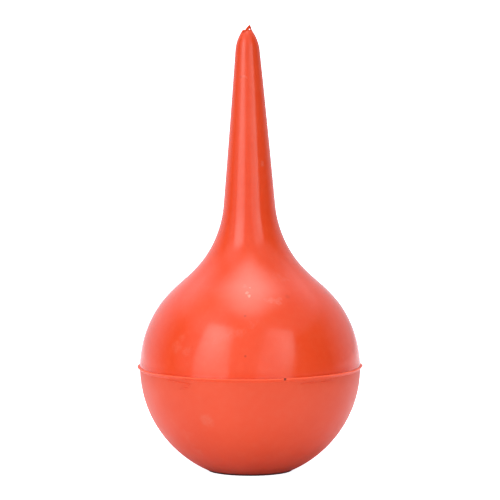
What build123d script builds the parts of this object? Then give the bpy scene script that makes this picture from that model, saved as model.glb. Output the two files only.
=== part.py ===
"""Dust blower bulb: a hollow rubber squeeze ball that runs out into a long tapered nozzle.

Two half mouldings are bonded at the ball's equator. The lower one is a cup with a small flat base. The
upper one is shoulder, concave neck and nozzle in one moulding, written here as three solids that are
divided where the rubber flexes. Units are millimetres and +Z is up. The origin is the centre of the
flat base, and everything but the torn flash at the mouth is round about the Z axis.

Half sections are drawn with X as the radius and Y as the height, and turned about Z.
"""
import os
from math import acos, cos, radians, sin, sqrt

from build123d import *

# Ball
ball_radius = 27.5
equator_height = 25.8
base_radius = 10.2
wall = 2.75

# Nozzle: a straight taper with a rounded, trimmed end
taper_angle = radians(5.1)
taper_end_radius = 3.05
taper_end_height = 105.0
mouth_radius = 1.2
tip_height = 110.0

# Bore: narrows from the neck to a short parallel land, where a tube or a blunt needle is pushed in
land_radius = 0.7
land_length = 5.0

# Neck: one concave arc, tangent to the ball and to the nozzle
neck_radius = 27.0

# Flex point of the neck, and the sphere about it on which the nozzle turns
flex_height = 70.0
flex_radius = 8.0
flex_clearance = 0.08

# Bond between the halves: a thin film, a fin outside whose edge curls up, and a bead inside
film = 0.3
fin_reach = 0.6
fin_curl = 0.45
fin_edge = 0.16
bead_radius = 0.55

# Torn flash that stands round the mouth of the nozzle, leaning in and thinning towards its torn edge
flash_root_radius = 0.95
flash_root = 0.4
flash_edge_radius = 0.93
flash_edge = 0.12
flash_low = 0.2
flash_high = 1.2
flash_bearing = radians(-40)

# The neck arc's centre follows from its distance to the ball's centre and to the taper's line
taper_normal = Vector(cos(taper_angle), sin(taper_angle))
taper_direction = Vector(-sin(taper_angle), cos(taper_angle))
ball_centre = Vector(0, equator_height)
taper_end = Vector(taper_end_radius, taper_end_height)
taper_offset = taper_normal.dot(taper_end - ball_centre)
neck_reach = ball_radius + neck_radius
neck_bearing = taper_angle + acos((taper_offset + neck_radius) / neck_reach)
neck_direction = Vector(cos(neck_bearing), sin(neck_bearing))
neck_centre = ball_centre + neck_direction * neck_reach

# Heights at which the wall is divided
lower_rim = equator_height - film / 2
upper_rim = equator_height + film / 2
shoulder_top = (ball_centre + neck_direction * ball_radius).Y

# The bowl's arc stands upright at the equator and passes through the base's corner
bowl_run = ball_radius - base_radius
bowl_radius = (equator_height**2 + bowl_run**2) / (2 * bowl_run)


def upper_outline(inset):
    """Draw the line over shoulder and neck to the taper, moved into the rubber by inset."""
    neck_start = ball_centre + neck_direction * (ball_radius - inset)
    neck_end = neck_centre - taper_normal * (neck_radius + inset)
    shoulder = TangentArc((ball_radius - inset, equator_height), neck_start, tangent=(0, 1))
    neck_arc = TangentArc(neck_start, neck_end, tangent=shoulder % 1)
    return neck_arc @ 1


def lower_outline(inset):
    """Draw the bowl's arc from the equator to the floor, moved into the rubber by inset."""
    reach = sqrt((bowl_radius - inset) ** 2 - (equator_height - inset) ** 2)
    floor_corner = (ball_radius - bowl_radius + reach, inset)
    bowl = TangentArc((ball_radius - inset, equator_height), floor_corner, tangent=(0, -1))
    return bowl @ 1


def keep_between(low, high):
    """Cut the sketch being drawn down to what lies between two heights."""
    with Locations((0, low)):
        Rectangle(3 * ball_radius, high - low, align=(Align.CENTER, Align.MIN), mode=Mode.INTERSECT)


# Half section of the whole bulb as if it were solid
with BuildSketch() as body_section:
    with BuildLine():
        taper = Line(upper_outline(0), taper_end)
        crown = TangentArc(taper @ 1, (mouth_radius, tip_height), tangent=taper_direction)
        Polyline(crown @ 1, (0, tip_height), (0, 0), lower_outline(0))
    make_face()

# Half section of the air inside it: cavity, narrowing bore and land
with BuildSketch() as air_section:
    with BuildLine():
        land = Line((land_radius, tip_height - land_length), (land_radius, tip_height))
        Line(upper_outline(wall), land @ 0)
        Polyline(land @ 1, (0, tip_height), (0, wall), lower_outline(wall))
    make_face()

# Half section of the rubber, parted at the equator by the bond's film
with BuildSketch() as wall_section:
    add(body_section.sketch)
    add(air_section.sketch, mode=Mode.SUBTRACT)
    with Locations(ball_centre):
        Rectangle(3 * ball_radius, film, mode=Mode.SUBTRACT)


# Lower half moulding: the cup that the bulb stands on
with BuildPart() as lower_shell:
    with BuildSketch(Plane.XZ):
        add(wall_section.sketch)
        keep_between(0, equator_height)
    revolve(axis=Axis.Z)
lower_shell.part.label = "lower_shell"

# Upper half moulding, shoulder: up to where the wall turns concave
with BuildPart() as upper_shell:
    with BuildSketch(Plane.XZ):
        add(wall_section.sketch)
        keep_between(equator_height, shoulder_top)
    revolve(axis=Axis.Z)
upper_shell.part.label = "upper_shell"

# Upper half moulding, neck: its top is rounded about the flex point
with BuildPart() as neck:
    with BuildSketch(Plane.XZ):
        add(wall_section.sketch)
        keep_between(shoulder_top, flex_height + flex_radius)
        with BuildSketch(mode=Mode.PRIVATE) as above_sphere:
            with Locations((0, flex_height)):
                Rectangle(2 * ball_radius, 2 * flex_radius, align=(Align.CENTER, Align.MIN))
                Circle(flex_radius, mode=Mode.SUBTRACT)
        add(above_sphere.sketch, mode=Mode.SUBTRACT)
    revolve(axis=Axis.Z)
neck.part.label = "neck"

# Upper half moulding, nozzle: its root is hollowed to clear the top of the neck
with BuildPart() as nozzle:
    with BuildSketch(Plane.XZ):
        add(wall_section.sketch)
        keep_between(flex_height, tip_height)
        with Locations((0, flex_height)):
            Circle(flex_radius + flex_clearance, mode=Mode.SUBTRACT)
    revolve(axis=Axis.Z)
nozzle.part.label = "nozzle"

# Bond round the equator: film between the rims, fin outside and bead inside
with BuildPart() as seam_bond:
    with BuildSketch(Plane.XZ):
        with BuildLine():
            film_start = ball_radius - wall
            fin_tip = ball_radius + fin_reach
            fin_tip_height = equator_height + fin_curl
            under = Line((film_start, lower_rim), (ball_radius, lower_rim))
            over = Line((film_start, upper_rim), (ball_radius, upper_rim))
            lip_under = TangentArc(under @ 1, (fin_tip, fin_tip_height), tangent=(1, 0))
            lip_over = TangentArc(over @ 1, lip_under @ 1 + Vector(-fin_edge, fin_edge / 2), tangent=(1, 0))
            Line(lip_under @ 1, lip_over @ 1)
            Line(under @ 0, over @ 0)
        make_face()
        with Locations((film_start, equator_height)):
            Circle(bead_radius)
        add(wall_section.sketch, mode=Mode.SUBTRACT)
    revolve(axis=Axis.Z)
seam_bond.part.label = "seam_bond"

# Torn flash at the mouth: a thin collar that the tear leaves low on one side and high on the other
with BuildPart() as tip_flash:
    with BuildSketch(Plane.XZ):
        with BuildLine():
            Polyline(
                (flash_root_radius - flash_root / 2, tip_height),
                (flash_root_radius + flash_root / 2, tip_height),
                (flash_edge_radius + flash_edge / 2, tip_height + flash_high),
                (flash_edge_radius - flash_edge / 2, tip_height + flash_high),
                close=True,
            )
        make_face()
    revolve(axis=Axis.Z)
    tear_centre = (0, 0, tip_height + (flash_low + flash_high) / 2)
    tear_slope = (flash_high - flash_low) / (2 * flash_root_radius)
    tear_normal = (-tear_slope * cos(flash_bearing), -tear_slope * sin(flash_bearing), 1)
    split(bisect_by=Plane(origin=tear_centre, z_dir=tear_normal), keep=Keep.BOTTOM)
tip_flash.part.label = "tip_flash"

os.makedirs("parts", exist_ok=True)
export_step(lower_shell.part, "parts/lower_shell.step")
export_step(upper_shell.part, "parts/upper_shell.step")
export_step(neck.part, "parts/neck.step")
export_step(nozzle.part, "parts/nozzle.step")
export_step(seam_bond.part, "parts/seam_bond.step")
export_step(tip_flash.part, "parts/tip_flash.step")
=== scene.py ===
"""Looks of the dust blower bulb: rubber skins, bond lip and torn flash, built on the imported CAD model.

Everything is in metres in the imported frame, and +Z is up. Outlines are rows of (radius, height). Bearings on
the bulb are in degrees about Z from +X, and the lights' bearings are counted from the camera's side.
"""
import math

import bpy
import numpy as np
from mathutils import Matrix, Vector


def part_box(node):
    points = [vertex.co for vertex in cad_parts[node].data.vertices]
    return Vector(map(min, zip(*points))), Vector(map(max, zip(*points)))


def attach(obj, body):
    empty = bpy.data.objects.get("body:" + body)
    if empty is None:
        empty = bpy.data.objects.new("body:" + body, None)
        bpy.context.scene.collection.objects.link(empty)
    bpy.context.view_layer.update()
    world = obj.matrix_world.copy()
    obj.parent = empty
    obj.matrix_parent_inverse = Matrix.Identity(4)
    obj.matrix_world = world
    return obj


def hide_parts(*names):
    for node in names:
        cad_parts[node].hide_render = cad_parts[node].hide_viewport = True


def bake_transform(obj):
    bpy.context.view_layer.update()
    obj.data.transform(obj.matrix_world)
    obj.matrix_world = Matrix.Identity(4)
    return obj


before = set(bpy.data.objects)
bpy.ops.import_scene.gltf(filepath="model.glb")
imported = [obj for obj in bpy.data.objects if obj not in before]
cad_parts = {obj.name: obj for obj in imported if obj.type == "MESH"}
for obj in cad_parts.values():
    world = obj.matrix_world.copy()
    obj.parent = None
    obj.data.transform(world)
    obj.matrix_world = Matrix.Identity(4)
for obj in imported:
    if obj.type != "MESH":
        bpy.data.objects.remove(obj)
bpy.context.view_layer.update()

MM = 0.001

# Sizes of the rubber that no node's box gives
WALL = 2.75 * MM
BASE_RADIUS = 10.2 * MM
BASE_UNDERCUT = 0.22 * MM
BASE_UNDERCUT_RUN = 0.15 * MM
BASE_INSET = 0.05 * MM
BASE_DISH = 0.12 * MM
FLOOR_FILLET = 2.5 * MM
FLOOR_FILLET_RISE = 1.5 * MM
TAPER_ANGLE = math.radians(5.1)
TAPER_END = np.array((3.05, 105.0)) * MM
MOUTH_RADIUS = 1.2 * MM
NECK_RADIUS = 27.0 * MM
LAND_RADIUS = 0.7 * MM
LAND_LENGTH = 5.0 * MM
MOUTH_ROUNDING = 0.2 * MM

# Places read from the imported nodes
LOWER_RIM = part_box("lower_shell")[1][2]
UPPER_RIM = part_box("upper_shell")[0][2]
EQUATOR = (LOWER_RIM + UPPER_RIM) / 2
BALL_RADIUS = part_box("upper_shell")[1][0]
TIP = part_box("nozzle")[1][2]
LIP_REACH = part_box("seam_bond")[1][0] - BALL_RADIUS
FLASH_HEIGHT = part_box("tip_flash")[1][2] - TIP

# Natural irregularity of a soft moulding: slight waves all over, and a nozzle that leans to the left
WAVE = 0.0016
WAVE_LENGTH = 26 * MM
LEAN_START = 46 * MM
LEAN = 0.4 * MM
LEAN_CURL = 0.3 * MM

# Where the upper skin leaves the CAD's arcs: it flares just over the seam and turns more softly into the neck
RIM_FLARE = 0.08 * MM
RIM_RISE = 1.1 * MM
SOFT_RUN = 6 * MM
SOFT_PASSES = 26

# Mesh spacing round the axis and along the outlines
SEGMENTS = 192
FINE_SEGMENTS = 960
STEP = 0.6 * MM
COARSE_STEP = 2 * MM


# ---- Points and rings ----

def tangent_arc(start, direction, end, step=STEP):
    """Points along the arc that leaves start in direction and reaches end."""
    start, end = np.array(start, float), np.array(end, float)
    direction = np.array(direction, float) / np.linalg.norm(direction)
    chord = end - start
    side = direction[0] * chord[1] - direction[1] * chord[0]
    half_turn = math.atan2(side, float(direction @ chord))
    radius = np.linalg.norm(chord) / (2 * math.sin(half_turn))
    centre = start + radius * np.array((-direction[1], direction[0]))
    count = max(4, math.ceil(abs(radius * 2 * half_turn) / step))
    angles = np.linspace(0, 2 * half_turn, count + 1)
    cos, sin = np.cos(angles), np.sin(angles)
    arm = start - centre
    points = np.stack((arm[0] * cos - arm[1] * sin, arm[0] * sin + arm[1] * cos), axis=1)
    return centre + points


def straight(start, end, step=STEP):
    """Points along the line from start to end."""
    start, end = np.array(start, float), np.array(end, float)
    count = max(1, math.ceil(np.linalg.norm(end - start) / step))
    return start + np.linspace(0, 1, count + 1)[:, None] * (end - start)


def chain(*runs):
    """One run of points from several that follow each other, each joint's point kept once."""
    return np.concatenate([runs[0]] + [run[1:] for run in runs[1:]])


def smooth(share):
    """Share from 0 to 1 eased at both ends."""
    share = np.clip(share, 0, 1)
    return share * share * (3 - 2 * share)


def ripple(points, wavelength, seed):
    """Smooth noise between about -1 and 1 at points, the same on each run."""
    rng = np.random.default_rng(seed)
    total = np.zeros(points.shape[:-1])
    waves = 7
    for _ in range(waves):
        direction = rng.normal(size=3)
        direction /= np.linalg.norm(direction)
        length = wavelength * rng.uniform(0.6, 1.5)
        total += np.sin(points @ direction * 2 * math.pi / length + rng.uniform(0, 2 * math.pi))
    return total / math.sqrt(waves)


def around(waves, angles, seed):
    """Smooth closed noise round a circle: a sum of waves given as (waves per turn, size)."""
    rng = np.random.default_rng(seed)
    total = np.zeros_like(angles)
    for turns, size in waves:
        total += size * np.sin(turns * angles + rng.uniform(0, 2 * math.pi))
    return total


def settled(points):
    """Points of the ideal bulb moved to where the soft rubber lies: slightly wavy, nozzle leaning."""
    moved = points.copy()
    swell = 1 + WAVE * ripple(points, WAVE_LENGTH, seed=5)
    moved[..., 0] *= swell
    moved[..., 1] *= swell
    rise = np.clip((points[..., 2] - LEAN_START) / (TIP - LEAN_START), 0, None)
    moved[..., 0] -= LEAN * rise + LEAN_CURL * rise**3
    return moved


def turned(outline, segments=SEGMENTS):
    """Rings of points made by turning an outline of (radius, height) about Z: rows by segments by 3."""
    angles = np.linspace(0, 2 * math.pi, segments, endpoint=False)
    radius, height = outline[:, 0][:, None], outline[:, 1][:, None]
    rings = np.stack(np.broadcast_arrays(radius * np.cos(angles), radius * np.sin(angles), height), axis=2)
    return settled(rings)


def ring_normals(rings, outward=1, closed=False):
    """Unit normal at each point of a grid of rings, from its neighbours."""
    if closed:
        return ring_normals(np.concatenate((rings[-1:], rings, rings[:1])), outward)[1:-1]
    along = np.gradient(rings, axis=0)
    across = np.roll(rings, -1, axis=1) - np.roll(rings, 1, axis=1)
    normals = np.cross(across, along) * outward
    length = np.linalg.norm(normals, axis=2, keepdims=True)
    pole = np.zeros_like(normals)
    pole[..., 2] = np.sign(rings[..., 2] - EQUATOR) * outward
    return np.where(length > 1e-15, normals / np.maximum(length, 1e-15), pole)


# ---- Meshes ----

def surface(rings, normals, flat_rows=(), closed=False):
    """Vertices, faces and corner normals of rings of points joined up. A ring whose points all meet becomes
    one vertex, and rows in flat_rows are shaded flat. A closed surface joins its last ring to its first."""
    count, segments = rings.shape[:2]
    is_pole = [float(np.ptp(ring, axis=0).max()) < 1e-9 for ring in rings]
    vertices, index = [], []
    for ring, pole in zip(rings, is_pole):
        first = len(vertices)
        index.append([first] * segments if pole else list(range(first, first + segments)))
        vertices.extend(ring[:1].tolist() if pole else ring.tolist())
    faces, corners = [], []
    for row in range(count if closed else count - 1):
        below, above = row, (row + 1) % count
        for j in range(segments):
            k = (j + 1) % segments
            quad = [(below, j), (below, k), (above, k), (above, j)]
            if is_pole[below]:
                quad = [(below, j), (above, k), (above, j)]
            elif is_pole[above]:
                quad = [(below, j), (below, k), (above, j)]
            faces.append([index[r][s] for r, s in quad])
            if row in flat_rows:
                a, b, c = (rings[r][s] for r, s in quad[:3])
                flat = np.cross(b - a, c - a)
                flat /= np.linalg.norm(flat)
                corners.extend([flat.tolist()] * len(quad))
            else:
                corners.extend(normals[r][s].tolist() for r, s in quad)
    return vertices, faces, corners


def piece(name, material, slot, *surfaces):
    """Object made of one or more surfaces. Its rest attribute keeps each point's place, for the materials."""
    vertices, faces, corners = [], [], []
    for more_vertices, more_faces, more_corners in surfaces:
        faces.extend([[v + len(vertices) for v in face] for face in more_faces])
        vertices.extend(more_vertices)
        corners.extend(more_corners)
    mesh = bpy.data.meshes.new(name)
    mesh.from_pydata(vertices, [], faces)
    mesh.polygons.foreach_set("use_smooth", [True] * len(faces))
    mesh.normals_split_custom_set(corners)
    rest = mesh.attributes.new("rest", "FLOAT_VECTOR", "POINT")
    rest.data.foreach_set("vector", np.array(vertices, np.float32).ravel())
    mesh.materials.append(material)
    mesh.update()
    made = bpy.data.objects.new(name, mesh)
    bpy.context.scene.collection.objects.link(made)
    return made


def wall_surface(outside, inside, outside_normals, inside_normals, closed=True):
    """Surface of a thick wall from the rings of its outside, bottom to top, and of its inside."""
    rings = np.concatenate((outside, inside[::-1]))
    normals = np.concatenate((outside_normals, inside_normals[::-1]))
    rim_rows = (len(outside) - 1, len(rings) - 1)
    return surface(rings, normals, flat_rows=rim_rows, closed=closed)


def sliver(path, widths, thickness, away):
    """Surface of a thin flat strip of rubber along a path of points, tapering as widths say, with away the
    direction that its flat side faces at each point."""
    path, away = np.array(path, float), np.array(away, float)
    fine = np.linspace(0, len(path) - 1, 8 * (len(path) - 1) + 1)
    knots = np.arange(len(path))
    centre = np.stack([np.interp(fine, knots, path[:, i]) for i in range(3)], axis=1)
    for _ in range(6):
        centre[1:-1] = (centre[:-2] + 2 * centre[1:-1] + centre[2:]) / 4
    width = np.interp(fine, knots, widths)
    width[0] = width[-1] = 0
    out = np.stack([np.interp(fine, knots, away[:, i]) for i in range(3)], axis=1)
    tangent = np.gradient(centre, axis=0)
    tangent /= np.linalg.norm(tangent, axis=1, keepdims=True)
    side = np.cross(out, tangent)
    side /= np.linalg.norm(side, axis=1, keepdims=True)
    out = np.cross(tangent, side)
    turn = np.linspace(0, 2 * math.pi, 12, endpoint=False)
    flat = thickness * np.minimum(1, width / max(widths) * 2)
    rings = (centre[:, None] + side[:, None] * (width[:, None] / 2 * np.cos(turn))[..., None]
             + out[:, None] * (flat[:, None] / 2 * np.sin(turn))[..., None])
    rings = settled(rings)
    return surface(rings, ring_normals(rings))


# ---- Outlines, the same construction as the CAD's ----

TAPER_NORMAL = np.array((math.cos(TAPER_ANGLE), math.sin(TAPER_ANGLE)))
TAPER_DIRECTION = np.array((-math.sin(TAPER_ANGLE), math.cos(TAPER_ANGLE)))
BALL_CENTRE = np.array((0, EQUATOR))
NECK_REACH = BALL_RADIUS + NECK_RADIUS
TAPER_OFFSET = TAPER_NORMAL @ (TAPER_END - BALL_CENTRE)
NECK_BEARING = TAPER_ANGLE + math.acos((TAPER_OFFSET + NECK_RADIUS) / NECK_REACH)
NECK_DIRECTION = np.array((math.cos(NECK_BEARING), math.sin(NECK_BEARING)))
NECK_CENTRE = BALL_CENTRE + NECK_DIRECTION * NECK_REACH
BOWL_RUN = BALL_RADIUS - BASE_RADIUS
BOWL_RADIUS = (EQUATOR**2 + BOWL_RUN**2) / (2 * BOWL_RUN)


def shoulder_and_neck(inset):
    """Arcs from the upper rim over the shoulder, and on up the neck, moved into the rubber by inset."""
    ball = BALL_RADIUS - inset
    rim_rise = UPPER_RIM - EQUATOR
    rim_x = math.sqrt(ball**2 - rim_rise**2)
    shoulder_end = BALL_CENTRE + NECK_DIRECTION * ball
    neck_end = NECK_CENTRE - TAPER_NORMAL * (NECK_RADIUS + inset)
    shoulder = tangent_arc((rim_x, UPPER_RIM), (-rim_rise, rim_x), shoulder_end)
    neck = tangent_arc(shoulder_end, (-NECK_DIRECTION[1], NECK_DIRECTION[0]), neck_end)
    return shoulder, neck


def softened(outline, turn):
    """Outline with the change of curvature at point number turn spread over a few millimetres."""
    soft = outline.copy()
    for _ in range(SOFT_PASSES):
        soft[1:-1] = (soft[:-2] + 2 * soft[1:-1] + soft[2:]) / 4
    along = np.abs(np.arange(len(outline)) - turn) * STEP
    near = smooth(1.5 - along / SOFT_RUN)[:, None]
    return outline + near * (soft - outline)


def bowl(inset, foot):
    """Arc up the bowl to the lower rim, starting at height foot, moved into the rubber by inset."""
    centre = np.array((BALL_RADIUS - BOWL_RADIUS, EQUATOR))
    radius = BOWL_RADIUS - inset
    foot_point = (centre[0] + math.sqrt(radius**2 - (EQUATOR - foot) ** 2), foot)
    rim_point = (centre[0] + math.sqrt(radius**2 - (EQUATOR - LOWER_RIM) ** 2), LOWER_RIM)
    arm = np.array(foot_point) - centre
    return tangent_arc(foot_point, (-arm[1], arm[0]), rim_point)


def outside_radius(height):
    """Radius of the rubber's outside at a height."""
    shoulder, neck = shoulder_and_neck(0)
    bond = np.stack((shoulder[0], shoulder[0]))
    outline = chain(bowl(0, 0), bond, shoulder, neck, straight(neck[-1], TAPER_END))
    return float(np.interp(height, outline[:, 1], outline[:, 0]))


def on_skin(bearing, height, proud=0.0):
    """Point on the rubber's outside at a bearing in degrees and a height, proud of it by a distance."""
    radius = outside_radius(height) + proud
    angle = math.radians(bearing)
    return np.array((radius * math.cos(angle), radius * math.sin(angle), height))


# ---- Pieces ----

def lower_skin(material):
    """Lower half moulding: bowl, undercut base edge with a shallow sink, and the inside."""
    side = bowl(0, BASE_UNDERCUT)
    corner = side[0] - (BASE_INSET, 0)
    base = straight((0, BASE_DISH), (BASE_RADIUS * 0.8, BASE_DISH * 0.4), COARSE_STEP)
    land = straight(base[-1], (corner[0] - BASE_UNDERCUT_RUN, 0))
    undercut = straight(land[-1], corner, 0.1 * MM)
    edge = chain(undercut[:-1], np.stack((undercut[-1], side[0])))
    outside = turned(chain(base, land, edge, side))
    inner_side = bowl(WALL, WALL + FLOOR_FILLET_RISE)
    inner_base = straight((0, WALL), (inner_side[0][0] - FLOOR_FILLET, WALL), COARSE_STEP)
    inside = turned(chain(inner_base, tangent_arc(inner_base[-1], (1, 0), inner_side[0]), inner_side))
    wall = wall_surface(outside, inside, ring_normals(outside), ring_normals(inside, -1), closed=False)
    return piece("lower_skin", material, "lower_rubber", wall)


def flared(shoulder):
    """Shoulder's outline flared out towards its rim, with closer points over its first few steps."""
    coarse_steps, fine_steps = 3, 8
    share = np.linspace(0, 1, fine_steps + 1)[:-1, None]
    rim = shoulder[0] + share * (shoulder[coarse_steps] - shoulder[0])
    rim[:, 0] = BALL_RADIUS * np.cos(np.arcsin((rim[:, 1] - EQUATOR) / BALL_RADIUS))
    outline = np.concatenate((rim, shoulder[coarse_steps:]))
    outline[:, 0] += RIM_FLARE * np.clip(1 - (outline[:, 1] - UPPER_RIM) / RIM_RISE, 0, 1) ** 2
    return outline


def upper_skins(material):
    """Upper half moulding, cut at the top of the shoulder into the shoulder's skin and the nozzle's skin.
    Both take their normals from the whole, so the cut doesn't show. Also returns the inner cut's height."""
    shoulder, neck = shoulder_and_neck(0)
    shoulder = flared(shoulder)
    taper = straight(neck[-1], TAPER_END)
    crown = tangent_arc(TAPER_END, TAPER_DIRECTION, (MOUTH_RADIUS, TIP), 0.25 * MM)
    outside = turned(softened(chain(shoulder, neck, taper, crown), len(shoulder) - 1))
    inner_shoulder, inner_neck = shoulder_and_neck(WALL)
    land_start = (LAND_RADIUS, TIP - LAND_LENGTH)
    mouth_edge = (LAND_RADIUS + MOUTH_ROUNDING, TIP)
    mouth = tangent_arc((LAND_RADIUS, TIP - MOUTH_ROUNDING), (0, 1), mouth_edge, 0.05 * MM)
    narrowing = straight(inner_neck[-1], land_start, COARSE_STEP)
    bore = chain(narrowing, straight(land_start, mouth[0], COARSE_STEP), mouth)
    inside = turned(chain(inner_shoulder, inner_neck, bore))
    outside_normals = ring_normals(outside)
    inside_normals = ring_normals(inside, -1)
    outer_cut = len(shoulder) - 1
    inner_cut = len(inner_shoulder) - 1
    below = (outside[: outer_cut + 1], inside[: inner_cut + 1],
             outside_normals[: outer_cut + 1], inside_normals[: inner_cut + 1])
    above = (outside[outer_cut:], inside[inner_cut:],
             outside_normals[outer_cut:], inside_normals[inner_cut:])
    shoulder_skin = piece("shoulder_skin", material, "upper_rubber", wall_surface(*below))
    nozzle_skin = piece("nozzle_skin", material, "upper_rubber", wall_surface(*above))
    return shoulder_skin, nozzle_skin, inner_shoulder[-1][1]


# Course of the bond's lip round the ball: height over the equator, how much that rises to the right and falls
# to the left, a sag, and a nick that takes away a share of its reach
LIP_HEIGHT = 0.38 * MM
LIP_TILT = 0.12 * MM
LIP_SAG = 0.06 * MM
LIP_SAG_BEARING, LIP_SAG_SPREAD = 207, 22
NICK_BEARING, NICK_SPREAD, NICK_SHARE = 288, 0.7, 0.8

# Lip's section: depth of its underside, rounding of its edge and how far below the lip's course that starts,
# height of its top, and how much thicker it is at the root
LIP_DEPTH = 0.8 * MM
LIP_EDGE_RADIUS = 0.13 * MM
LIP_EDGE_DROP = 0.03 * MM
LIP_TOP = 0.09 * MM
LIP_ROOT = 0.10 * MM

# Bond's hidden parts: how far the lip is rooted in the wall, and the bead inside
ROOT_DEPTH = 0.4 * MM
BEAD_RADIUS = 0.5 * MM

# Smears of rubber squeezed down from the bond: bearing and turn in degrees, then height against the equator,
# climb and width in millimetres
SMEARS = [
    (229, 9, -1.05, -0.15, 0.20),
    (233, 5, -1.75, 0.35, 0.16),
    (231, 6, -2.55, 0.45, 0.14),
    (222, 12, -0.85, -0.10, 0.16),
    (296, 10, -0.95, 0.10, 0.14),
    (309, 9, -1.05, 0.15, 0.16),
    (61, 8, -1.00, -0.10, 0.16),
    (118, 6, -1.40, 0.30, 0.14),
]
SMEAR_THICKNESS = 0.3 * MM
SMEAR_END = 0.1 * MM
# Share of the lip's painted edge glow and highlight that the smears take
SMEAR_GLOW_SHARE = 0.3


def bond_section(angles):
    """Closed section of the bond at each of the angles: rows of radius and of height, and how much of the
    painted glow and highlight of the lip's thin edge each row takes, from 0 to 1."""
    bearings = np.degrees(angles)
    slow = [(2, 0.4), (3, 0.5), (5, 0.4), (8, 0.3)]
    quick = [(17, 0.5), (31, 0.5), (59, 0.4), (103, 0.4), (187, 0.3)]
    reach = LIP_REACH + MM * (0.05 * around(slow, angles, 11) + 0.03 * around(quick, angles, 12))
    swell = 1 + 0.12 * around(slow, angles, 13) + 0.06 * around(quick, angles, 14)
    sag = LIP_SAG * smooth(1 - np.abs(bearings - LIP_SAG_BEARING) / LIP_SAG_SPREAD)
    wobble = 0.02 * MM * around(quick, angles, 15)
    middle = LIP_HEIGHT + LIP_TILT * np.cos(angles) - sag + wobble
    nick = np.exp(-(((bearings - NICK_BEARING) / NICK_SPREAD) ** 2))
    reach = reach * (1 - NICK_SHARE * nick)
    lower, upper = LOWER_RIM - EQUATOR, UPPER_RIM - EQUATOR

    radii, heights, glow_share = [], [], []

    # pale: share of the painted glow and highlight of the lip's thin edge that a row takes
    def add(radius, height, pale=0.0):
        """Add a row at a radius over the ball's and a height over the equator."""
        radii.append(BALL_RADIUS + radius + 0 * angles)
        heights.append(EQUATOR + height + 0 * angles)
        glow_share.append(pale)

    # Underside, from inside the wall out to the edge
    add(-ROOT_DEPTH, middle - LIP_DEPTH - 0.2 * MM)
    add(-0.06 * MM, middle - LIP_DEPTH - 0.1 * MM)
    for share in (0, 0.15, 0.35, 0.6, 0.8, 1):
        out = (reach - 0.02 * MM) * share**1.4 - 0.04 * MM * (1 - share)
        add(out, middle - LIP_DEPTH + (LIP_DEPTH - LIP_EDGE_DROP) * share, 0.25 * share**4)

    # Rounded edge, which takes all of the painted glow and highlight
    for share in (0.25, 0.5, 0.75, 1):
        tilt = math.radians(60 * share)
        rise = LIP_EDGE_RADIUS * math.sin(tilt) - LIP_EDGE_DROP
        add(reach - LIP_EDGE_RADIUS * (1 - math.cos(tilt)), middle + rise, 1.0)

    # Top, from the edge back into the wall
    for share in (0.66, 0.33, 0):
        add((reach - 0.08 * MM) * share, middle + LIP_TOP + swell * LIP_ROOT * (1 - share), share)
    add(-0.02 * MM, np.maximum(middle + 0.22 * MM, upper))
    add(-ROOT_DEPTH, upper)

    # Film through the wall, and the bead inside
    add(-WALL, upper)
    for turn in range(0, 181, 30):
        tilt = math.radians(turn)
        add(-WALL - 0.01 * MM - BEAD_RADIUS * math.sin(tilt), 0.9 * BEAD_RADIUS * math.cos(tilt))
    add(-WALL, lower)
    add(-ROOT_DEPTH, lower)
    return np.array(radii), np.array(heights), glow_share


def smear(bearing, turn, low, climb, width):
    """Surface of one smear below the bond."""
    steps = np.linspace(0, 1, 5)
    places = [on_skin(bearing + turn * s, EQUATOR + MM * (low + climb * s)) for s in steps]
    away = [(p[0], p[1], 0) / np.linalg.norm(p[:2]) for p in places]
    widths = [SMEAR_END, width * MM, width * MM, width * MM, SMEAR_END]
    return sliver(places, widths, SMEAR_THICKNESS, away)


def bond_ring(material):
    """Film between the rims, with a bead inside. Outside, the squeezed-out rubber stands off the ball as an
    uneven thin lip with a nick in it, and a few smears lie below it. The edge attribute says where the lip's
    thin edge, and more faintly the smears, take a painted glow and highlight."""
    angles = np.linspace(0, 2 * math.pi, FINE_SEGMENTS, endpoint=False)
    radius, height, glow_share = bond_section(angles)
    rings = settled(np.stack((radius * np.cos(angles), radius * np.sin(angles), height), axis=2))
    ring = surface(rings, ring_normals(rings, closed=True), closed=True)
    made = piece("bond_ring", material, "flash_rubber", ring, *(smear(*row) for row in SMEARS))
    # edge: share of the painted glow and highlight at each point
    edge = made.data.attributes.new("edge", "FLOAT", "POINT")
    values = np.full(len(edge.data), SMEAR_GLOW_SHARE, np.float32)
    values[: rings.shape[0] * FINE_SEGMENTS] = np.repeat(glow_share, FINE_SEGMENTS)
    edge.data.foreach_set("value", values)
    return made


# Torn collar round the mouth: root radii outside and inside, how deep it is rooted, and its height
COLLAR_OUTER = 1.16 * MM
COLLAR_INNER = 0.80 * MM
COLLAR_DEPTH = 0.03 * MM
COLLAR_HEIGHT = 0.10 * MM
COLLAR_RAGGEDNESS = 0.04 * MM

# Slivers of torn flash: x and y in millimetres, height over the mouth as a share of FLASH_HEIGHT, and width
# in millimetres
LEANING_SLIVER = [
    (-1.40, -0.45, -0.28, 0.2),
    (-1.12, -1.0, -0.22, 0.38),
    (-0.74, -1.2, -0.12, 0.42),
    (-0.34, -1.16, 0.0, 0.5),
    (-0.04, -1.04, 0.18, 0.7),
    (0.24, -0.92, 0.46, 0.74),
    (0.46, -0.8, 0.78, 0.62),
    (0.62, -0.68, 1.0, 0.45),
    (0.72, -0.6, 1.16, 0.12),
]
PROP_SLIVER = [
    (1.12, -0.3, -0.25, 0.5),
    (1.0, -0.42, 0.02, 0.7),
    (0.86, -0.5, 0.35, 0.66),
    (0.74, -0.56, 0.7, 0.5),
    (0.7, -0.6, 1.0, 0.2),
]


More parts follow.
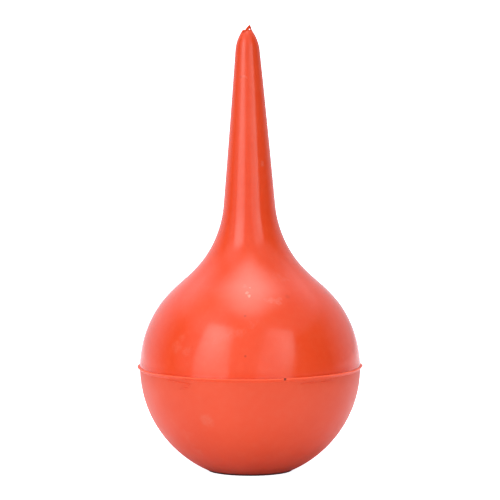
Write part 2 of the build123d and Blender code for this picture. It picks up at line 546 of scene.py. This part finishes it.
def torn_collar():
    """Surface of the low ragged collar round the mouth."""
    angles = np.linspace(0, 2 * math.pi, 180, endpoint=False)
    rough = around([(5, 0.5), (11, 0.5), (23, 0.4), (41, 0.3)], angles, 21)
    top = COLLAR_HEIGHT + COLLAR_RAGGEDNESS * rough
    root = TIP - COLLAR_DEPTH
    section = [(COLLAR_OUTER - 0.12 * MM * share, root + top * share) for share in (0, 0.4, 0.75, 0.95)]
    section.append((COLLAR_OUTER - 0.2 * MM, root + top))
    section.extend((COLLAR_INNER + 0.06 * MM * share, root + top * share) for share in (0.95, 0.5, 0))
    radius = np.array([r + 0 * angles for r, _ in section])
    height = np.array([h + 0 * angles for _, h in section])
    rings = settled(np.stack((radius * np.cos(angles), radius * np.sin(angles), height), axis=2))
    return surface(rings, ring_normals(rings, closed=True), closed=True)


def torn_sliver(rows, thickness):
    """Surface of a sliver of torn flash from its rows of x, y, height and width."""
    path = [np.array((x, y, 0)) * MM + (0, 0, TIP + share * FLASH_HEIGHT) for x, y, share, _ in rows]
    widths = [width * MM for *_, width in rows]
    away = [(x, y, 0.2) for x, y, *_ in rows]
    return sliver(path, widths, thickness, away)


def torn_flash(material):
    """Flash left round the mouth where the nozzle was torn from its sprue: a low ragged collar, a ledge on
    the left that runs up into a leaning sliver, and a shorter sliver that props it from the right."""
    leaning = torn_sliver(LEANING_SLIVER, 0.26 * MM)
    prop = torn_sliver(PROP_SLIVER, 0.3 * MM)
    return piece("torn_flash", material, "flash_rubber", torn_collar(), leaning, prop)


# ---- Materials ----

def node(tree, kind, inputs=(), **settings):
    """New shader node with its settings, and its inputs set to numbers or linked to other nodes' outputs."""
    made = tree.nodes.new(kind)
    for name, value in settings.items():
        setattr(made, name, value)
    for name, value in dict(inputs).items():
        if isinstance(value, bpy.types.NodeSocket):
            tree.links.new(value, made.inputs[name])
        else:
            made.inputs[name].default_value = value
    return made


def maths(tree, operation, first, second):
    """Result of a sum, product or other operation on two values."""
    return node(tree, "ShaderNodeMath", {0: first, 1: second}, operation=operation).outputs[0]


def ramp(tree, value, low, high, to_low=0.0, to_high=1.0):
    """Value mapped from low..high to to_low..to_high, smoothly and clamped."""
    inputs = {"Value": value, "From Min": low, "From Max": high, "To Min": to_low, "To Max": to_high}
    return node(tree, "ShaderNodeMapRange", inputs, interpolation_type="SMOOTHSTEP").outputs["Result"]


def noise(tree, place, scale, detail=2.0, roughness=0.5, output="Fac"):
    """Noise of about scale bumps to the metre."""
    inputs = {"Vector": place, "Scale": scale, "Detail": detail, "Roughness": roughness}
    return node(tree, "ShaderNodeTexNoise", inputs).outputs[output]


def between(tree, share, first, second):
    """Value between first and second."""
    return node(tree, "ShaderNodeMix", {0: share, 2: first, 3: second}, data_type="FLOAT").outputs[0]


def vector(tree, operation, inputs, output=0):
    """Result of an operation on vectors."""
    return node(tree, "ShaderNodeVectorMath", inputs, operation=operation).outputs[output]


def mixed(tree, share, first, second):
    """Colour between first and second."""
    made = node(tree, "ShaderNodeMix", data_type="RGBA")
    for name, value in (("Factor", share), ("A", first), ("B", second)):
        socket = next(s for s in made.inputs if s.name == name and (s.type == "RGBA" or name == "Factor"))
        if isinstance(value, bpy.types.NodeSocket):
            tree.links.new(value, socket)
        else:
            socket.default_value = value
    return next(s for s in made.outputs if s.type == "RGBA")


def spots(tree, place, marks):
    """Mask of round marks, given as bearing in degrees, height and radius in millimetres, and strength."""
    mask = None
    for bearing, height, size, strength in marks:
        centre = settled(on_skin(bearing, height * MM))
        away = vector(tree, "DISTANCE", {0: place, 1: tuple(centre)}, "Value")
        spot = ramp(tree, away, 0.35 * size * MM, size * MM, strength, 0.0)
        mask = spot if mask is None else maths(tree, "MAXIMUM", mask, spot)
    return mask


# Green and blue of worn rubber, which the painted highlight spots on the lower skin take too, the painted
# contact shade where the base meets the bench and the heights between which it ends, how ragged worn patches
# are, and dulling by handling, which grows from a height to the tip
WORN_AND_HIGHLIGHT_GREEN, WORN_AND_HIGHLIGHT_BLUE = 0.34, 0.24
CONTACT_SHADE_COLOUR = (0.025, 0.005, 0.005, 1)
CONTACT_SHADE_LOW, CONTACT_SHADE_HIGH = 0.3 * MM, 0.6 * MM
RAGGEDNESS = 1.6 * MM
HANDLED_START = 60 * MM
HANDLED_DULLING = 0.06


def attribute(tree, name, output):
    """Value that the mesh keeps under a name."""
    return node(tree, "ShaderNodeAttribute", attribute_name=name).outputs[output]


def height_of(tree, place):
    """Height of a place in the shared frame."""
    return node(tree, "ShaderNodeSeparateXYZ", {"Vector": place}).outputs["Z"]


def wear_and_highlight_mask(tree, place, scuffs_and_highlight_spots):
    """Mask of worn patches, scuffs and painted highlight spots: faint worn patches at random, and the marks
    given, all ragged and broken up by fine noise.
    """
    jitter = vector(tree, "SUBTRACT", {0: noise(tree, place, 900, 3.0, output="Color"), 1: (0.5,) * 3})
    shift = vector(tree, "SCALE", {0: jitter, "Scale": RAGGEDNESS})
    ragged = vector(tree, "ADD", {0: place, 1: shift})
    wear_and_highlight = ramp(tree, noise(tree, ragged, 110, 3.0, 0.6), 0.62, 0.78, 0.0, 0.10)
    if scuffs_and_highlight_spots:
        wear_and_highlight = maths(tree, "MAXIMUM", wear_and_highlight, spots(tree, ragged, scuffs_and_highlight_spots))
    return maths(tree, "MULTIPLY", wear_and_highlight, ramp(tree, noise(tree, place, 1900), 0.3, 0.6, 0.45, 1.0))


def speck_mask(tree, place, pits):
    """Mask of stray dark specks, a few at random and the pits."""
    cells = node(tree, "ShaderNodeTexVoronoi", {"Vector": place, "Scale": 125})
    specks = ramp(tree, cells.outputs["Distance"], 0.010, 0.026, 0.4, 0.0)
    return maths(tree, "MAXIMUM", specks, spots(tree, place, pits)) if pits else specks


def rubber(name, colour, roughness, shine, grain, scuffs_and_highlight_spots=(), pits=(), edge_glow_colour=None, contact_shaded=False):
    """Moulded rubber: slightly cloudy colour, faint bloom, scuffs, painted highlight spots and pits where they
    are on the object, stray specks, gloss that is uneven and dulled by handling towards the nozzle's tip, and
    a fine grain.
    Rubber given an edge colour takes it as a painted glow and highlight where the mesh's edge attribute says,
    and rubber at the base can take painted contact shade, near-black where it meets the bench."""
    material = bpy.data.materials.new(name)
    material.use_nodes = True
    tree = material.node_tree
    shader = tree.nodes["Principled BSDF"]
    place = attribute(tree, "rest", "Vector")

    deep = tuple(c * s for c, s in zip(colour, (0.97, 0.9, 0.8)))
    chalk = (colour[0], colour[1] * 2.6, colour[2] * 5)
    dirt = (colour[0] * 0.08, colour[1] * 0.15, colour[2] * 0.4)
    clouds = ramp(tree, noise(tree, place, 75), 0.3, 0.7)
    body = mixed(tree, clouds, (*colour, 1), (*deep, 1))
    bloom = ramp(tree, noise(tree, place, 520, 3.0, 0.6), 0.35, 0.8, 0.0, 0.07)
    body = mixed(tree, bloom, body, (*chalk, 1))
    # Painted glow and highlight: the lip's thin edge takes a paler, brighter colour
    if edge_glow_colour:
        body = mixed(tree, attribute(tree, "edge", "Fac"), body, (*edge_glow_colour, 1))
    # Worn patches and scuffs, and on the lower skin pale spots painted as a highlight
    wear_and_highlight = wear_and_highlight_mask(tree, place, scuffs_and_highlight_spots)
    body = mixed(tree, wear_and_highlight, body, (colour[0], WORN_AND_HIGHLIGHT_GREEN, WORN_AND_HIGHLIGHT_BLUE, 1))
    body = mixed(tree, speck_mask(tree, place, pits), body, (*dirt, 1))
    # Painted contact shade: the base is coloured near-black where it meets the bench
    if contact_shaded:
        base_shade = ramp(tree, height_of(tree, place), CONTACT_SHADE_LOW, CONTACT_SHADE_HIGH, 0.96, 0.0)
        body = mixed(tree, base_shade, body, CONTACT_SHADE_COLOUR)
    tree.links.new(body, shader.inputs["Base Color"])

    uneven = ramp(tree, noise(tree, place, 90, 3.0), 0.25, 0.75, roughness * 0.9, roughness * 1.1)
    handled = ramp(tree, height_of(tree, place), HANDLED_START, TIP, 0.0, HANDLED_DULLING)
    dullness = maths(tree, "ADD", uneven, handled)
    tree.links.new(between(tree, wear_and_highlight, dullness, 0.5), shader.inputs["Roughness"])
    shader.inputs["IOR"].default_value = 1.5
    shader.inputs["Specular IOR Level"].default_value = shine

    relief = {"Height": noise(tree, place, 2600), "Distance": 0.004 * MM, "Strength": grain}
    tree.links.new(node(tree, "ShaderNodeBump", relief).outputs["Normal"], shader.inputs["Normal"])
    return material


# Colours of the two skins, the lip, the painted glow and highlight on the lip's thin edge, and the torn flash
LOWER_COLOUR = (0.69, 0.0695, 0.0190)
UPPER_COLOUR = (0.745, 0.0645, 0.0155)
FLASH_COLOUR = (0.72, 0.071, 0.019)
# Painted glow and highlight of the lip's thin edge, standing in for light through thin rubber
LIP_GLOW_COLOUR = (0.95, 0.134, 0.055)
TORN_COLOUR = (0.66, 0.057, 0.011)

# Marks on the skin: bearing in degrees, height and radius in millimetres, strength
# The lower skin's pale spots are a painted highlight, in the worn colour
LOWER_HIGHLIGHT_SPOTS = [(245.6, 15.7, 2.3, 0.10), (244.2, 16.2, 1.2, 0.12), (247.6, 14.9, 1.6, 0.06)]
UPPER_SCUFFS = [
    (267.6, 46.5, 0.5, 0.7), (269.3, 45.9, 0.55, 0.9), (269.8, 47.7, 0.4, 0.45), (266.0, 47.9, 0.7, 0.12),
    (285.2, 44.8, 1.3, 0.16), (289.5, 44.4, 1.2, 0.16), (292.0, 45.1, 0.8, 0.12), (281.5, 44.9, 0.9, 0.10),
    (227.0, 33.4, 2.2, 0.07), (234.4, 32.4, 1.8, 0.07), (229.5, 35.4, 1.4, 0.05),
    (306.0, 77.2, 0.8, 0.22), (252.0, 98.8, 0.6, 0.16), (263.0, 98.4, 0.5, 0.14),
]
UPPER_PITS = [
    (267.0, 41.3, 0.5, 0.26), (267.6, 31.9, 0.4, 0.34), (298.6, 45.5, 0.9, 0.10), (240.0, 98.6, 0.5, 0.14),
]
SEAM_PITS = [(288, 26.2, 0.55, 0.9)]


# ---- Stage ----

# Floor as the bulb mirrors it: pale near the bulb and behind it, dark further out in front and at the sides,
# and glowing where it is pale
FLOOR_PALE = (0.84, 0.82, 0.88, 1)
FLOOR_DARK = (0.2, 0.2, 0.21, 1)
FLOOR_REACH = 3.0
FLOOR_GLOW = 0.40


def floor():
    """Plain floor, over-exposed to white for the camera."""
    mesh = bpy.data.meshes.new("table")
    far = FLOOR_REACH
    mesh.from_pydata([(-far, -far, 0), (far, -far, 0), (far, far, 0), (-far, far, 0)], [], [(0, 1, 2, 3)])
    table = bpy.data.objects.new("table", mesh)
    bpy.context.scene.collection.objects.link(table)
    material = bpy.data.materials.new("white_table")
    material.use_nodes = True
    tree = material.node_tree
    shader = tree.nodes["Principled BSDF"]
    shader.inputs["Roughness"].default_value = 0.8
    shader.inputs["Emission Color"].default_value = (1, 0.98, 1, 1)
    place = node(tree, "ShaderNodeTexCoord").outputs["Object"]
    away = vector(tree, "LENGTH", {0: place}, "Value")
    behind = node(tree, "ShaderNodeSeparateXYZ", {"Vector": place}).outputs["Y"]
    near = ramp(tree, away, 0.12, 0.28, 1.0, 0.0)
    pale = maths(tree, "MAXIMUM", near, ramp(tree, behind, 0.05, 0.35))
    tree.links.new(mixed(tree, pale, FLOOR_DARK, FLOOR_PALE), shader.inputs["Base Color"])
    glow = maths(tree, "MULTIPLY", ramp(tree, away, 0.008, 0.09, 0.0, FLOOR_GLOW), pale)
    seen = node(tree, "ShaderNodeLightPath").outputs["Is Camera Ray"]
    tree.links.new(maths(tree, "ADD", glow, seen), shader.inputs["Emission Strength"])
    mesh.materials.append(material)


def softbox(name, bearing, low, high, half_width, distance, radiance, hot, edge, roll=0):
    """Softbox seen from the bulb at a bearing from the camera's side, between two elevations, all in degrees.
    It stands upright, turned by roll in its own plane, or hangs level if it reaches overhead. It is brightest
    at the place hot across and up its face, and falls to edge far from there."""
    turn = math.radians(bearing)
    low, high = math.radians(low), math.radians(high)
    level = Vector((math.sin(turn), -math.cos(turn), 0))
    overhead = high > math.pi / 2
    lamp = bpy.data.lights.new(name, "AREA")
    lamp.shape = "RECTANGLE"
    lamp.size = 2 * distance * math.tan(math.radians(half_width))
    if overhead:
        front, back = distance / math.tan(low), distance / math.tan(high)
        lamp.size_y = front - back
        place = level * (front + back) / 2 + Vector((0, 0, EQUATOR + distance))
        tilt = 0
    else:
        bottom, top = distance * math.tan(low), distance * math.tan(high)
        lamp.size_y = top - bottom
        place = level * distance + Vector((0, 0, EQUATOR + (bottom + top) / 2))
        tilt = math.pi / 2
    lamp.energy = radiance * math.pi * lamp.size * lamp.size_y
    lamp.use_nodes = True
    tree = lamp.node_tree
    face = node(tree, "ShaderNodeNewGeometry").outputs["Parametric"]
    away = vector(tree, "DISTANCE", {0: face, 1: (*hot, 0)}, "Value")
    glow = ramp(tree, away, 0.05, 0.52 if overhead else 0.65, 1.0, edge)
    tree.links.new(glow, tree.nodes["Emission"].inputs["Strength"])
    stand = bpy.data.objects.new(name, lamp)
    stand.location = place
    upright = Matrix.Rotation(turn, 3, "Z") @ Matrix.Rotation(tilt, 3, "X")
    stand.rotation_euler = (upright @ Matrix.Rotation(math.radians(roll), 3, "Z")).to_euler()
    stand.visible_camera = False
    bpy.context.scene.collection.objects.link(stand)


def lights():
    """Two tall softboxes in front, left one stronger, and one overhead."""
    softbox("left_box", -40.2, -6, 46.5, 19, 0.28, 2.95, (0.46, 0.68), 0.44)
    softbox("right_box", 30.3, -6, 44, 17.8, 0.28, 2.2, (0.86, 0.62), 0.32, roll=-16)
    softbox("top_box", 0, 52, 138, 29, 0.60, 4.4, (0.5, 0.485), 0.0)


# Brightness of the room as the bulb mirrors it: in front, behind the bulb, and the share of it that is left
# at the right
ROOM_FRONT = 0.06
ROOM_BACK = 0.89
ROOM_RIGHT = 0.78

# Glow high at both sides, and of a pale screen behind the camera and round to its left: the screen's bearing,
# elevation, and inner and outer spread in degrees
SIDE_GLOW = 0.5
SCREEN_GLOW = 0.58
SCREEN_BEARING = -23
SCREEN_ELEVATION = 15
SCREEN_SPREAD = (48, 70)


def surroundings():
    """White backdrop: pure white to the camera. The bulb mirrors it as bright behind and dim in front, with a
    glow high at the sides and from the screen."""
    world = bpy.data.worlds.new("studio")
    bpy.context.scene.world = world
    world.use_nodes = True
    tree = world.node_tree
    tree.nodes.clear()
    place = node(tree, "ShaderNodeTexCoord").outputs["Generated"]
    axes = node(tree, "ShaderNodeSeparateXYZ", {"Vector": place}).outputs
    back = ramp(tree, axes["Y"], -0.04, 0.68, ROOM_FRONT, ROOM_BACK)
    room = maths(tree, "MULTIPLY", back, ramp(tree, axes["X"], -0.1, 0.5, 1.0, ROOM_RIGHT))

    sideways = node(tree, "ShaderNodeMath", {0: axes["X"]}, operation="ABSOLUTE").outputs[0]
    high = ramp(tree, axes["Z"], 0.5, 0.66, 0.0, SIDE_GLOW)
    sides = maths(tree, "MULTIPLY", ramp(tree, sideways, 0.25, 0.45), high)

    turn, tilt = math.radians(SCREEN_BEARING), math.radians(SCREEN_ELEVATION)
    middle = (math.sin(turn) * math.cos(tilt), -math.cos(turn) * math.cos(tilt), math.sin(tilt))
    toward = vector(tree, "DOT_PRODUCT", {0: place, 1: middle}, "Value")
    inner, outer = (math.cos(math.radians(spread)) for spread in SCREEN_SPREAD)
    screen = ramp(tree, toward, outer, inner, 0.0, SCREEN_GLOW)

    brightness = maths(tree, "ADD", maths(tree, "ADD", room, sides), screen)
    lit = node(tree, "ShaderNodeBackground", {"Color": (0.99, 0.95, 1.07, 1), "Strength": brightness})
    seen = node(tree, "ShaderNodeBackground", {"Color": (1, 1, 1, 1), "Strength": 1.0})
    path = node(tree, "ShaderNodeLightPath").outputs["Is Camera Ray"]
    both = node(tree, "ShaderNodeMixShader", {0: path, 1: lit.outputs[0], 2: seen.outputs[0]})
    node(tree, "ShaderNodeOutputWorld", {"Surface": both.outputs[0]})


CAMERA_PLACE = Vector((0, -1.1, 0.164))
CAMERA_AIM = Vector((0, 0, 0.05525))
CAMERA_LENS = 319.5


def camera():
    """Long lens, slightly above the bulb, aimed at its middle height."""
    lens = bpy.data.cameras.new("camera")
    lens.lens = CAMERA_LENS
    lens.sensor_width = 36
    lens.clip_start = 0.05
    view = bpy.data.objects.new("camera", lens)
    view.location = CAMERA_PLACE
    view.rotation_euler = (CAMERA_AIM - CAMERA_PLACE).to_track_quat("-Z", "Y").to_euler()
    bpy.context.scene.collection.objects.link(view)
    bpy.context.scene.camera = view


# ---- Assembly ----

camera()
surroundings()
lights()
floor()
bpy.context.scene.view_settings.view_transform = "Standard"

lower_rubber = rubber("lower_rubber", LOWER_COLOUR, 0.42, 0.32, 0.5, LOWER_HIGHLIGHT_SPOTS, contact_shaded=True)
upper_rubber = rubber("upper_rubber", UPPER_COLOUR, 0.165, 0.5, 0.3, UPPER_SCUFFS, UPPER_PITS)
lip_rubber = rubber("lip_rubber", FLASH_COLOUR, 0.42, 0.24, 0.5, pits=SEAM_PITS, edge_glow_colour=LIP_GLOW_COLOUR)
torn_rubber = rubber("torn_rubber", TORN_COLOUR, 0.45, 0.12, 0.6)

bowl_piece = lower_skin(lower_rubber)
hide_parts("lower_shell")
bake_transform(bowl_piece)

shoulder_piece, nozzle_piece, inner_top = upper_skins(upper_rubber)
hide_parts("upper_shell")
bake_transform(shoulder_piece)
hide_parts("neck", "nozzle")
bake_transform(nozzle_piece)

ring_piece = bond_ring(lip_rubber)
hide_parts("seam_bond")
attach(ring_piece, "seam")

flash_piece = torn_flash(torn_rubber)
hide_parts("tip_flash")
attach(flash_piece, "nozzle")
